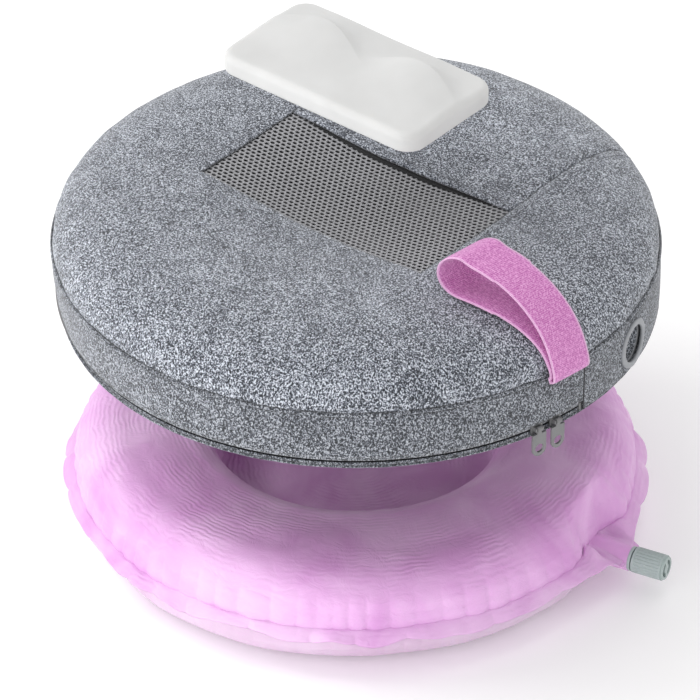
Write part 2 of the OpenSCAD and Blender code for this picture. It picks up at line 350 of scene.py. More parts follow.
def plain_fabric(name, col, spread=0.25, scale=900):
    m, t, b = material(name, 0.9, Sheen_Weight=0.15)
    f = noise(t, coords(t), scale, 2.0)
    lo, hi = either_side(col, spread)
    t.links.new(ramp(t, f, (0.35, lo), (0.65, hi)), b.inputs["Base Color"])
    bump(t, b, f, 0.4, 0.0006)
    return m


def cell_material(name, col, pale):
    """Welded skin: cloudy lilac, fine wrinkles and patches of ring-shaped ripples."""
    m, t, b = material(name, 0.42, Subsurface_Weight=0.18, Subsurface_Scale=0.01, Sheen_Weight=0.1,
                       Specular_IOR_Level=0.35)
    b.inputs["Subsurface Radius"].default_value = (1.0, 0.55, 0.9)
    c = coords(t)
    cloud = noise(t, c, 14, 3.0, 0.55, 0.6)
    grain = noise(t, c, 1400, 1.0)
    wrinkle = noise(t, coords(t, (1, 1, 2.2)), 60, 4.0, 0.6, 1.5)
    share = ramp(t, cloud, (0.36, (0, 0, 0)), (0.66, (1, 1, 1)))
    t.links.new(mixc(t, share, col, pale), b.inputs["Base Color"])
    rings = node(t, "ShaderNodeTexWave", wave_type="RINGS", rings_direction="Z", in_Scale=92.0,
                 in_Distortion=5.0, in_Detail=1.0)
    t.links.new(c, rings.inputs[0])
    patch = ramp(t, noise(t, c, 22, 1.0), (0.38, (0, 0, 0)), (0.58, (1, 1, 1)))
    rip = mul(t, rings.outputs["Fac"], patch)
    h = add(t, mul(t, wrinkle, 0.42), mul(t, rip, 0.12))
    h = add(t, h, mul(t, grain, 0.03))
    bump(t, b, h, 0.5, 0.0035)
    return m


def pad_material():
    m, t, b = material("pad_foam", 0.5, Subsurface_Weight=0.25, Subsurface_Scale=0.012,
                       Specular_IOR_Level=0.3)
    b.inputs["Subsurface Radius"].default_value = (1.0, 0.95, 0.9)
    c = coords(t)
    f = noise(t, c, 2200, 2.0)
    g = noise(t, c, 30, 2.0)
    col = ramp(t, g, (0.3, (0.59, 0.59, 0.585)), (0.7, (0.635, 0.635, 0.63)))
    t.links.new(col, b.inputs["Base Color"])
    bump(t, b, f, 0.12, 0.0003)
    return m


def webbing_material():
    """Ribs run across the webbing, from the mesh's own UVs: u across, v along."""
    m, t, b = material("webbing", 0.85, Sheen_Weight=0.3)
    uv = node(t, "ShaderNodeUVMap")
    sep = t.nodes.new("ShaderNodeSeparateXYZ")
    t.links.new(uv.outputs[0], sep.inputs[0])
    rib = math_(t, "SINE", mul(t, sep.outputs[1], 2 * PI * 230))
    rib = add(t, mul(t, rib, 0.5), 0.5)
    row = math_(t, "SINE", mul(t, sep.outputs[0], 2 * PI * 24))
    row = add(t, mul(t, row, 0.5), 0.5)
    f = noise(t, coords(t), 800, 2.0)
    edge = math_(t, "ABSOLUTE", math_(t, "SUBTRACT", sep.outputs[0], 0.5))
    edge = math_(t, "GREATER_THAN", edge, 0.462)
    base = mixc(t, rib, (0.44, 0.12, 0.36), (0.66, 0.21, 0.54))
    base = mixc(t, ramp(t, f, (0.42, (0, 0, 0)), (0.66, (0.7, 0.7, 0.7))), base, (0.90, 0.44, 0.78))
    col = mixc(t, mul(t, edge, 0.75), base, (0.86, 0.52, 0.78))
    t.links.new(col, b.inputs["Base Color"])
    h = add(t, rib, mul(t, row, 0.35))
    bump(t, b, add(t, h, mul(t, f, 0.4)), 0.5, 0.0005)
    return m


def plastic(name, col, rough, metal=0.0):
    """Moulded plastic, rubber or die-cast metal, a little uneven in tone and gloss."""
    m, t, b = material(name, rough, Metallic=metal)
    c = coords(t)
    f = noise(t, c, 500, 3.0)
    g = noise(t, c, 90, 3.0)
    lo, hi = either_side(col, 0.06)
    t.links.new(ramp(t, g, (0.3, lo), (0.7, hi)), b.inputs["Base Color"])
    t.links.new(add(t, mul(t, f, 0.16), rough - 0.08), b.inputs["Roughness"])
    bump(t, b, f, 0.08, 0.0003)
    return m


def base_material():
    """Dark cloth with rows of small anti-slip dots."""
    m, t, b = material("dotted_base", 0.85)
    c = coords(t)
    v = node(t, "ShaderNodeTexVoronoi", in_Scale=140.0, in_Randomness=0.0)
    t.links.new(coords(t, (1, 1, 0.0001)), v.inputs["Vector"])
    dot = ramp(t, v.outputs["Distance"], (0.20, (1, 1, 1)), (0.27, (0, 0, 0)))
    f = noise(t, c, 1000, 2.0)
    cloth = ramp(t, f, (0.35, (0.018, 0.018, 0.02)), (0.65, (0.05, 0.05, 0.055)))
    t.links.new(mixc(t, dot, cloth, (0.02, 0.02, 0.022)), b.inputs["Base Color"])
    bump(t, b, add(t, dot, mul(t, f, 0.3)), 0.6, 0.0008)
    return m


MELANGE = melange_material("melange", 0.80)
# the crown's melange made darker for the upright band and its trims: painted shade on the side faces
MELANGE_SHADED = melange_material("melange_band_shaded", 0.54)
# the melange much darker: painted shade, drawn as thin cords along the seams
SEAM_SHADE = melange_material("melange_seam_shade", 0.3)
# near-black cloth: painted shade under the mesh window
SHADE = plain_fabric("painted_shade_cloth", (0.012, 0.012, 0.014))
MESH = mesh_material()
LINING = plain_fabric("lining", (0.02, 0.02, 0.022))
THREAD = plain_fabric("thread", (0.20, 0.205, 0.23), 0.3, 2500)
THREAD_DARK = plain_fabric("thread_dark", (0.035, 0.035, 0.04), 0.3, 2500)
CELL = cell_material("cell_upper", (0.66, 0.31, 0.65), (0.82, 0.50, 0.81))
CELL_LOW = cell_material("cell_lower", (0.65, 0.45, 0.63), (0.73, 0.56, 0.72))
PADM = pad_material()
WEB = webbing_material()
CAP = plastic("valve_plastic", (0.40, 0.47, 0.46), 0.45)
DARK = plastic("seal_rubber", (0.02, 0.02, 0.02), 0.6)
ZIPD = plastic("zip_dark", (0.03, 0.03, 0.034), 0.5)
ZIPM = plastic("zip_metal", (0.22, 0.22, 0.225), 0.42, 0.5)
EYE = plastic("eyelet_plastic", (0.30, 0.31, 0.33), 0.45)
BASE = base_material()
FOAM = plain_fabric("open_foam", (0.75, 0.70, 0.5), 0.1, 300)


# ---------------------------------------------------------------- the cover's crown
def crown_z(r):
    """Height of the crown's outer surface over the cover's underside, at radius r."""
    r = np.asarray(r, float)
    inner = CROWN - DIP * (1 + np.cos(PI * np.clip(r, 0, RING) / RING)) / 2
    u = np.clip((r - RING) / SPAN, 0, 1)
    outer = EDGE + RISE * np.power(np.clip(1 - u ** POW, 0, 1), 1 / POW)
    return np.where(r < RING, inner, outer)


def crown_n(r):
    """Outward normal (radial, up) of the crown at radius r."""
    r = np.asarray(r, float)
    u = np.clip((r - RING) / SPAN, 0, 0.99999)
    v = np.power(np.clip(1 - u ** POW, 1e-9, 1), 1 / POW)
    gx, gz = u ** (POW - 1) / SPAN, v ** (POW - 1) / RISE
    slope = DIP * PI / RING * np.sin(PI * np.clip(r, 0, RING) / RING) / 2
    gx = np.where(r < RING, -slope, gx)
    gz = np.where(r < RING, 1.0, gz)
    k = np.hypot(gx, gz)
    return gx / k, gz / k


def crown_p(x, y, extra=0.0):
    """Point of the soft, uneven crown over plan position (x, y), lifted by extra along its normal."""
    x, y = np.broadcast_arrays(np.asarray(x, float), np.asarray(y, float))
    r = np.hypot(x, y)
    th = np.arctan2(y, x)
    a = around(th)
    soft = 0.75 * wob(x / 46 + 40, y / 46 + 40, 3) + 0.35 * wob(x / 17 + 60, y / 17 + 60, 5)
    rim = np.exp(-(R - 1 - r) / 7.0)
    pucker = 0.55 * wob(a * 120, r * 0 + 3, 7, 120) * rim               # gathers at the piping
    seam = np.minimum(np.abs(np.abs(x) - WX), 40)
    valley = -0.9 * np.exp(-(seam / 2.6) ** 2) * (y > -WY - 1)          # along the two back seams
    front = -0.5 * np.exp(-(((y + WY) / 5.0) ** 2)) * (np.abs(x) < WX)    # along the window's front
    d = extra - 0.45 + soft * (1 - rim) * 0.8 + pucker + (valley + front) * (1 - rim)
    nx, nz = crown_n(r)
    rr = np.minimum(r + nx * d, R - 0.6)
    return np.stack([rr * np.cos(th), rr * np.sin(th), LIFT + crown_z(r) + nz * d], -1)


def mouth_y(x):
    """The pocket's mouth, bowed a little to the rear."""
    return WY - 1.2 + 1.4 * (1 - (x / WX) ** 2)


OUTW = 1 - (1 - np.linspace(0, 1, 130)) ** 2.0   # shares of the way out, closer together at the rim
RIM = R - 1.0                                    # the crown cloth's outer edge

# top panel: from the window's left, front and right edges, and the two back seams, out to the rim
tc = math.acos(WX / RIM)
corner = math.atan2(WY, WX)
# bearings where that inner edge starts, turns and ends, and the number of points between them
brk = [PI - tc, PI, PI + corner, 1.5 * PI, 2 * PI - corner, 2 * PI, 2 * PI + tc]
counts = (90, 50, 70, 70, 50, 90)
ths = np.unique(np.concatenate([np.linspace(brk[k], brk[k + 1], n) for k, n in enumerate(counts)]))
c, s = np.cos(ths), np.sin(ths)
with np.errstate(divide="ignore", invalid="ignore"):
    r0 = np.minimum(np.where(np.abs(c) > 1e-6, WX / np.abs(c), 1e9),
                    np.where(s < -1e-6, WY / -s, 1e9))
r0 = np.minimum(r0, RIM)
rr = r0[:, None] + (RIM - r0)[:, None] * OUTW[None]
P = crown_p(rr * c[:, None], rr * s[:, None])
top = grid("cover_top", P, flip=True, body="cover", mat=MELANGE, slot="melange", stands=("top_panel",))
thick(top, CLOTH)

# rear panel: the strip from the pocket's mouth to the rear rim
xs = np.linspace(-WX + 0.35, WX - 0.35, 110)
yrim = np.sqrt(RIM ** 2 - xs ** 2)
mouth = mouth_y(xs)
yy = mouth[:, None] + (yrim - mouth)[:, None] * OUTW[None]
P = crown_p(xs[:, None], yy)
lip = np.exp(-(yy - mouth[:, None]) / 5.0) * (1 - (xs[:, None] / WX) ** 8)
P[..., 2] += 0.5 * lip
P[:, 0, 2] -= 0.6
rear = grid("cover_rear", P, body="cover", mat=MELANGE, slot="melange", stands=("rear_panel",))
thick(rear, CLOTH)

# the two back seams, each a thin dark cord of painted shade, with their topstitch, the window's front seam,
# also a cord of painted shade, and the stitching along the mouth
def crown_normal(x, y):
    r = np.hypot(x, y)
    nx, nz = crown_n(r)
    return np.stack([nx * x / r, nx * y / r, nz], -1)


for sgn, nm in ((-1, "left"), (1, "right")):
    y = np.linspace(-WY, math.sqrt((RIM - 3) ** 2 - WX ** 2), 150)
    x = np.full_like(y, sgn * WX)
    tube("seam_" + nm, crown_p(x, y, -0.2), 0.4, n=6, body="cover", mat=SEAM_SHADE, slot="melange")
    x2 = np.full_like(y, sgn * (WX + 6.5))
    x2 = x2 + sgn * 10 * step(y, -20, -WY) * (sgn < 0)
    ok = np.hypot(x2, y) < RIM - 6
    stitches("topstitch_" + nm, crown_p(x2[ok], y[ok], 0.15), crown_normal(x2[ok], y[ok]),
             body="cover", mat=THREAD, slot="melange")
x = np.linspace(-WX, WX, 120)
tube("seam_front_shade", crown_p(x, np.full_like(x, -WY - 0.3), -0.5), 0.4, n=6, body="cover", mat=SEAM_SHADE,
     slot="melange")
x = np.linspace(-WX + 3, WX - 3, 120)
y = mouth_y(x) + 5
stitches("mouth_stitch", crown_p(x, y, 0.95), crown_normal(x, y), body="cover", mat=THREAD, slot="melange")

# ---------------------------------------------------------------- mesh window: a real perforated sheet
PX, PY = 4.3, 3.5                                # pitch of the holes
HX, HY = 1.8, 1.32                               # half sizes of a hole
K = 12                                           # points round a hole
nx_, ny_ = int(2 * (WX + 2) / PX), int(2 * (WY + 2) / PY)    # holes along and across


def mesh_z(x, y):
    """Height of the mesh, which sags at the pocket's mouth."""
    sag = 2.6 * step(y, 8, WY) * (1 - np.abs(x / (WX + 4)) ** 3)
    droop = 0.8 * wob(x / 30 + 9, y / 30 + 9, 11)
    return LIFT + crown_z(np.hypot(x, y)) - 2.4 - sag + droop * 0.6


vlist, flist = [], []
index = {}


def vid(x, y):
    """Number of the shared vertex at (x, y)."""
    key = (round(x * 100), round(y * 100))
    if key not in index:
        index[key] = len(vlist)
        vlist.append((x, y))
    return index[key]


half_cell = [(PX / 2, 0), (PX / 2, PY / 2), (PX / 4, PY / 2), (0, PY / 2), (-PX / 4, PY / 2),
             (-PX / 2, PY / 2)]
outer = half_cell + [(-q[0], -q[1]) for q in half_cell]
oa = [math.atan2(q[1] / PY, q[0] / PX) for q in outer]
for j in range(ny_):
    cy = (j - (ny_ - 1) / 2) * PY
    for i in range(nx_):
        cx = (i - (nx_ - 1) / 2) * PX + (PX / 2 if j % 2 else 0) - PX / 4
        o_ids = [vid(cx + q[0], cy + q[1]) for q in outer]
        i_ids = []
        for t in oa:
            i_ids.append(len(vlist))
            vlist.append((cx + HX * math.cos(t), cy + HY * math.sin(t)))
        for k in range(K):
            k2 = (k + 1) % K
            flist.append((o_ids[k], o_ids[k2], i_ids[k2], i_ids[k]))
vm = np.array(vlist)
P = np.column_stack([vm, mesh_z(vm[:, 0], vm[:, 1])])
meshp = make("mesh_window", P, flist, body="cover", mat=MESH, slot="mesh", stands=("mesh_panel",))
thick(meshp, 0.9)
# a near-black sheet just under the mesh: painted shade that shows through the holes
bx = np.linspace(-WX - 1.5, WX + 1.5, 60)
by = np.linspace(-WY - 1.5, WY + 3, 36)
gx, gy = np.meshgrid(bx, by, indexing="ij")
P = np.stack([gx, gy, mesh_z(gx, gy) - 1.3], -1)
back = grid("mesh_shade_sheet", P, body="cover", mat=SHADE, slot="lining")
thick(back, THIN)

# ---------------------------------------------------------------- side band, piping, hem
def lean(th):
    """How far the soft hem is drawn in on the left, in mm."""
    d = bearing(th, math.radians(212))
    return 5.0 * np.exp(-((np.degrees(d) / 42) ** 2))


def band_r(z, th):
    """Outer radius of the soft band at height z over the cover's underside."""
    a = around(th)
    t = (z - 1.6) / 39.4                         # 0 at the hem, 1 at the piping
    belly = 0.45 * np.sin(PI * np.clip(t, 0, 1))
    fine = 0.25 * wob(a * 90, t * 1.2, 23, 90) * (1 - np.clip(t, 0, 1) * 0.3)
    soft = (0.35 * wob(a * 26, t * 2 + 5, 21, 26) + fine) * np.sin(PI * np.clip(t, 0.06, 0.94))
    return R - 0.55 + belly + soft - lean(th) * np.clip(1 - t, 0, 1) ** 1.5


def hem_z(th):
    """Height of the side band's lower edge, over the zip."""
    return 8.6 + 0.5 * wob(around(th) * 40, 2.0, 27, 40)


n = 520
th = np.linspace(BAND0 - 2 * PI + VENT, BAND0, n)
v = np.linspace(0, 1, 26)
z = hem_z(th)[:, None] + (BAND_TOP - hem_z(th))[:, None] * v[None]
P = cyl(band_r(z, th[:, None]), th[:, None], LIFT + z)
side = grid("side_band_cloth", P, body="cover", mat=MELANGE_SHADED, slot="melange", stands=("side_band",))
thick(side, BAND_CLOTH)

# the vent panel, with the eyelet's hole
th = np.linspace(BAND0, BAND0 + VENT, 420)
z = 1.7 + (BAND_TOP - 1.7) * np.linspace(0, 1, 42)
tt, zz = np.meshgrid(th, z, indexing="ij")
rb = band_r(zz, tt)
dist = np.hypot((tt - VALVE) * R, zz - EYELET_Z)
rb = rb - 0.5 * np.exp(-((dist - 19.5) / 1.6) ** 2)
P = cyl(rb, tt, LIFT + zz)
faces = [f for f in quads(len(th), len(z)) if min(dist.reshape(-1)[list(f)]) > 14.6]
vent = make("vent_band_cloth", P, faces, body="cover", mat=MELANGE_SHADED, slot="melange",
            stands=("vent_panel",))
thick(vent, BAND_CLOTH)

# the piping with a thin dark cord of painted seam shadow either side of it, and the band's two upright seams
th = np.linspace(0, 2 * PI, 720, endpoint=False)
wav = 0.25 * wob(around(th) * 90, 1, 31, 90)
tube("top_piping_cord", cyl(R - 1.15 + 0 * th, th, LIFT + SEAM + wav), 1.25, n=10, closed=True,
     body="cover", mat=MELANGE_SHADED, slot="piping", stands=("top_piping",))
sink = 0.35 * wob(around(th) * 60, 4, 32, 60)
for nm, r_, up_ in (("upper", R - 1.15 + sink, 1.5), ("lower", R - 0.8 - sink, -1.5)):
    tube("seam_shadow_" + nm, cyl(r_, th, LIFT + SEAM + up_ + wav), 0.4, n=6, closed=True,
         body="cover", mat=SEAM_SHADE, slot="piping")
BAND1 = BAND0 - 2 * PI + VENT                    # the band's rear seam
for nm, at, low in (("band_seam", BAND0, 2), ("band_seam_rear", BAND1, 10)):
    z = np.linspace(low, 41, 30)
    tube(nm, cyl(band_r(z, at) + 0.1, at + 0 * z, LIFT + z), 0.5, up=(0, 1, 0), n=6,
         body="cover", mat=THREAD_DARK, slot="melange")

# hem binding: a rolled strip round the base, its section as (out from R, up)
sec = np.array([(-4.2, 0.3), (-1.6, 0.15), (-0.7, 0.55), (-0.45, 1.1), (-0.8, 1.6), (-2.0, 1.75),
                (-4.0, 1.7)])
rb = R + sec[None, :, 0] + 0.12 * wob(around(th) * 110, 3, 33, 110)[:, None] - lean(th)[:, None]
P = cyl(rb, th[:, None], LIFT + sec[None, :, 1])
grid("base_binding_roll", P, wrap_u=True, wrap_v=True, body="cover", mat=MELANGE_SHADED, slot="melange",
     stands=("base_binding",))

# base panel; the grid's middle, where its rows meet in one point, is left out
rr = np.linspace(0, 1, 90)
tt, rg = np.meshgrid(np.linspace(0, 2 * PI, 240, endpoint=False), rr, indexing="ij")
rg = rg * (R - 3.9 - lean(tt))
P = cyl(rg, tt, LIFT + 0.9 + 0.25 * wob(rg / 30 * np.cos(tt) + 30, rg / 30 * np.sin(tt) + 30, 35))
base = grid("base_cloth", P[:, 1:], wrap_u=True, body="cover", mat=BASE, slot="base_cloth",
            stands=("base_panel",))

# ---------------------------------------------------------------- zip
Z0, Z1 = BAND0 - math.radians(213.7), BAND0 - math.radians(0.9)    # the zip's two ends
ZIP_R, PITCH, HALF_TOOTH = 201.4, 1.9, 0.62      # the teeth's middle radius, their pitch and half width
TOOTH = ((200.3, -0.9), (202.5, -0.9), (202.7, 0.0), (202.5, 0.9), (200.3, 0.9))    # section: r, up


def chain(name, zc, stands, phase):
    """A row of five-sided teeth at height zc."""
    k = int((Z1 - Z0) * ZIP_R / PITCH)
    verts, faces = [], []
    for i in range(k):
        t = Z0 + (i + 0.5 + phase) * (Z1 - Z0) / (k + 1)
        w = HALF_TOOTH / ZIP_R
        base = len(verts)
        for dt in (-w, w):
            for r_, up_ in TOOTH:
                r_ = r_ - float(lean(t)) * 0.9
                verts.append((r_ * math.cos(t + dt), r_ * math.sin(t + dt), LIFT + zc + up_))
        for q in range(5):
            q2 = (q + 1) % 5
            faces.append((base + q, base + q2, base + 5 + q2, base + 5 + q))
        faces += [tuple(base + q for q in (0, 4, 3, 2, 1)), tuple(base + q for q in (5, 6, 7, 8, 9))]
    return make(name, np.array(verts), faces, body="cover", mat=ZIPD, slot="zip_dark", stands=stands,
                smooth=False)


chain("zip_coil_upper", 6.0, ("zip_teeth_upper",), 0.0)
chain("zip_coil_lower", 2.75, ("zip_teeth_lower",), 0.5)
th = np.linspace(Z0, Z1, 420)
flaps = (("zip_flap_lower", (202.7, 202.75, 202.8), 1.0, (1.5, 2.8, 4.0)),
         ("zip_flap_upper", (202.8, 202.75, 202.7), 0.75, (5.6, 7.6, 9.6)))
for nm, r_, share, z_ in flaps:
    P = cyl(np.array(r_)[None] - share * lean(th)[:, None], th[:, None], LIFT + np.array(z_)[None])
    thick(grid(nm, P, body="cover", mat=MELANGE_SHADED, slot="melange"), THIN)

# the cloth that closes the band between its rear seam and the zip's end
tp = np.linspace(BAND1, Z0 - 0.006, 24)[:, None]
P = cyl(202.8 - lean(tp) * 0.8 + 0 * v[None], tp, LIFT + 1.5 + 8.0 * v[None])
thick(grid("zip_end_patch", P, body="cover", mat=MELANGE_SHADED, slot="melange"), THIN)

# ---------------------------------------------------------------- vent eyelet
def ring_piece(name, ro, ri, r_in, r_out, stands):
    """A rounded ring that follows the band, from depth r_in to r_out."""
    m = 96
    a = np.linspace(0, 2 * PI, m, endpoint=False)
    w = (ro - ri) / 2
    mid = (ro + ri) / 2
    ks = np.linspace(0, 2 * PI, 16, endpoint=False)
    off = mid + w * np.sign(np.cos(ks)) * np.abs(np.cos(ks)) ** 0.7
    dep = (r_in + r_out) / 2 + (r_out - r_in) / 2 * np.sign(np.sin(ks)) * np.abs(np.sin(ks)) ** 0.7
    lat = off[None] * np.cos(a)[:, None]
    up = off[None] * np.sin(a)[:, None]
    t = VALVE + lat / R
    P = cyl(dep[None] + 0 * lat, t, LIFT + EYELET_Z + up)
    return grid(name, P, True, True, body="cover", mat=EYE, slot="eyelet", stands=stands)


ring_piece("eyelet_ring", 17.4, 13.0, 203.6, 205.9, ("vent_eyelet",))
# a short cloth sleeve behind it, whose hole rises to the valve's height in the closed cushion
ea = np.linspace(0, 2 * PI, 72, endpoint=False)[:, None]
sleeve_r = np.array([201.6, 200.4, 199.2, 198.4, 197.6])[None]
hole = np.array([13.3, 12.8, 12.0, 11.2, 10.9])[None]
hole_up = np.array([0, 0.8, 1.9, 3.0, 3.6])[None]
P = cyl(sleeve_r, VALVE + hole * np.cos(ea) / R, LIFT + EYELET_Z + hole_up + hole * np.sin(ea))
sleeve = grid("eyelet_sleeve", P, wrap_u=True, body="cover", mat=MELANGE_SHADED, slot="melange")
thick(sleeve, THIN)
ring_piece("eyelet_washer", 17.4, 13.2, 200.9, 202.0, ("eyelet_backing",))

# ---------------------------------------------------------------- carry strap
WEB_LENGTH = 290.0                               # mm of webbing to one unit of its UV map


def shoulder_pt(a, d):
    """(r, z) at distance d over the crown's shoulder; a is PI / 2 at the rim and 0 at the ring."""
    a = np.asarray(a, float)
    u, v = np.sin(a) ** (2 / POW), np.cos(a) ** (2 / POW)
    gx, gz = u ** (POW - 1) / SPAN, v ** (POW - 1) / RISE
    k = np.hypot(gx, gz)
    return np.stack([RING + SPAN * u + d * gx / k, EDGE + RISE * v + d * gz / k], -1)


def strap_path():
    """(r, z) along the webbing: out of the root, over the loop's nose and back under itself."""
    er = 16.4
    rc = er - 0.8
    ae = np.array([math.radians(6)])
    mid, tip = shoulder_pt(ae, 0.9 + er)[0], shoulder_pt(ae, 1.9 + er)[0]
    tilt = math.atan2(tip[1] - mid[1], tip[0] - mid[0])
    aa = np.radians(np.linspace(75, 10, 12))
    gap = 3.2 + 27.0 * np.cos(aa) ** 2.5
    root_top = np.array([[205.9, 40.2], [207.0, 39.5], [208.4, 39.8], [209.4, 41.4], [209.6, 44.0],
                         [208.9, 48.5]])
    upper = shoulder_pt(aa, gap + 0.8)
    b = tilt + np.radians(np.linspace(0, 180, 13))
    far = np.stack([mid[0] + rc * np.cos(b), mid[1] + rc * np.sin(b)], -1)
    ab = np.radians(np.linspace(11, 78, 12))
    lower = shoulder_pt(ab, 1.7)
    root_low = np.array([[206.2, 47.0], [206.3, 44.6], [206.2, 42.8], [205.9, 41.8]])
    return np.concatenate([root_top, upper, far, lower, root_low])


def strap_mesh(name, path2, t, body, stands):
    """Webbing of thickness t along (r, z) points; beyond the band it swings aside and narrows a little."""
    p = np.column_stack([path2[:, 0], 0 * path2[:, 0], path2[:, 1]])
    p = resample(p, 1.2)
    relax(p, 3)
    d = frames(p)
    nrm = np.stack([-d[:, 2], 0 * d[:, 0], d[:, 0]], -1)
    y = np.linspace(-0.5, 0.5, 13)
    m = len(p)
    s = distances(p)
    top, bot = [], []
    reach = np.clip(206 - p[:, 0], 0, None)
    away, wide = 0.33 * reach, STRAP_W * (1 - 0.06 * step(0, 40, reach))
    for q in y:
        edge = 1 - 0.45 * abs(2 * q) ** 12
        tw = 0.25 * np.sin(s / 31.0)[:, None] * nrm * (2 * q)
        shift = np.array([0, 1, 0]) * (q * wide - away)[:, None]
        top.append(p + nrm * t / 2 * edge + shift + tw)
        bot.append(p - nrm * t / 2 * edge + shift + tw)
    P = np.stack(top + bot[::-1], 1)
    k = P.shape[1]
    ca, sa = math.cos(STRAP), math.sin(STRAP)
    X = P[..., 0] * ca - P[..., 1] * sa
    Y = P[..., 0] * sa + P[..., 1] * ca
    P = np.stack([X, Y, P[..., 2] + LIFT], -1)
    faces = quads(m, k, False, True)
    faces += [tuple(range(k))[::-1], tuple((m - 1) * k + i for i in range(k))]
    o = make(name, P.reshape(-1, 3), faces, mat=WEB, slot="webbing", stands=stands)
    uv = o.data.uv_layers.new(name="UVMap")
    us = list(y + 0.5) + list((y + 0.5)[::-1])
    for poly in o.data.polygons:
        for li, vi in zip(poly.loop_indices, poly.vertices):
            uv.data[li].uv = (us[vi % k], s[vi // k] / WEB_LENGTH)
    if body:
        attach(o, body)
    return o


strap = strap_mesh("strap_loop_webbing", strap_path(), 1.5, None, ("carry_strap",))
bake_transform(strap)
root = np.array([[204.9, 43.4], [205.3, 42.2], [205.2, 41.0], [205.3, 39.8], [205.7, 39.0], [206.3, 38.9]])
strap_mesh("strap_root_fold", root, 1.2, "cover", ("strap_anchor",))

# ---------------------------------------------------------------- air cell
def bell(th, s):
    """1 at the valve, falling off over s degrees."""
    return np.exp(-((np.degrees(bearing(th, VALVE)) / s) ** 2))


def notch(th):
    """1 where the weld is drawn in round the valve, 0 elsewhere, with steep flanks."""
    d = np.degrees(bearing(th, VALVE))
    return np.exp(-np.where(d < 0, np.abs(d / 9.6) ** 3.2, np.abs(d / 6.4) ** 4))


def relief(lat, beyond):
    """Creases either side of the valve's neck and the round fold in front of it, beyond the weld."""
    lift = 7.0 * np.exp(-(((lat + 22.5) / 5.8) ** 2)) + 1.6 * np.exp(-(((lat - 21) / 4.5) ** 2))
    dip = 3.4 * np.exp(-(((lat - 13.0) / 2.8) ** 2)) + 4.2 * np.exp(-(((lat + 13.0) / 2.8) ** 2))
    return (lift - dip) * step(beyond, 0, 3.5) * (1 - 0.7 * step(beyond, 8, 18))


def pleat(th, seed, k):
    """Sharp-bottomed puckers round the weld, unevenly spaced."""
    a = around(th)
    w = a * k + 0.9 * wob(a * 23, 0.5, seed, 23)
    return np.abs(np.sin(PI * w)) ** 0.75 * (0.55 + 0.45 * wob(a * 31, 4.5, seed + 1, 31))


# the skins' sections, (r, z) from the middle to the weld
UP = np.array([(0.5, 34.3), (30, 34.3), (60, 34.3), (84, 34.3), (92.5, 34.6), (95.2, 37.5), (96.0, 46),
               (96.4, 56), (97.6, 64.5), (101.5, 70.6), (110, 73.9), (120, 75.3), (130, 75.9), (141, 75.9),
               (150, 75.2), (158, 73.8), (166, 71.4), (173.5, 67.9), (180, 63), (186, 56.8), (190.6, 50.2),
               (193.2, 44.6), (193.8, 40.2), (192.6, 36.7)])
LO = np.array([(0.5, 0.3), (60, 0.25), (120, 0.2), (152, 0.2), (163, 0.9), (172, 2.9), (179, 6.2),
               (184, 10.6), (187.6, 16), (190, 22.5), (191.4, 29), (192.0, 35.3)])


def smooth_profile(pts, n):
    """n points along a section, its corners rounded off."""
    s = distances(pts)
    t = np.linspace(0, s[-1], n)
    out = np.stack([np.interp(t, s, pts[:, 0]), np.interp(t, s, pts[:, 1])], -1)
    relax(out, 3)
    return out


NT = 900                                         # points round the cell
th = np.linspace(0, 2 * PI, NT, endpoint=False)
a = around(th)


def weld_z(th):
    """Height of the weld, which dips to the valve."""
    return WELD_Z + 0.9 * wob(around(th) * 30, 2, 41, 30) - 9.0 * bell(th, 9)


def flange_edge(th):
    """Radius of the welded flange's scalloped edge, wider at the valve."""
    a = around(th)
    scallop = 3.4 * np.abs(np.sin(PI * (a * 30 + 1.1 * wob(a * 17, 3, 43, 17)))) ** 0.5
    d = np.degrees(bearing(th, VALVE))
    near = np.exp(-np.where(d < 0, np.abs(d / 10.5) ** 2.4, np.abs(d / 7) ** 2))
    return 196.4 + (scallop + 1.6 * wob(a * 40, 1, 45, 40)) * (1 - near) + 9.5 * near


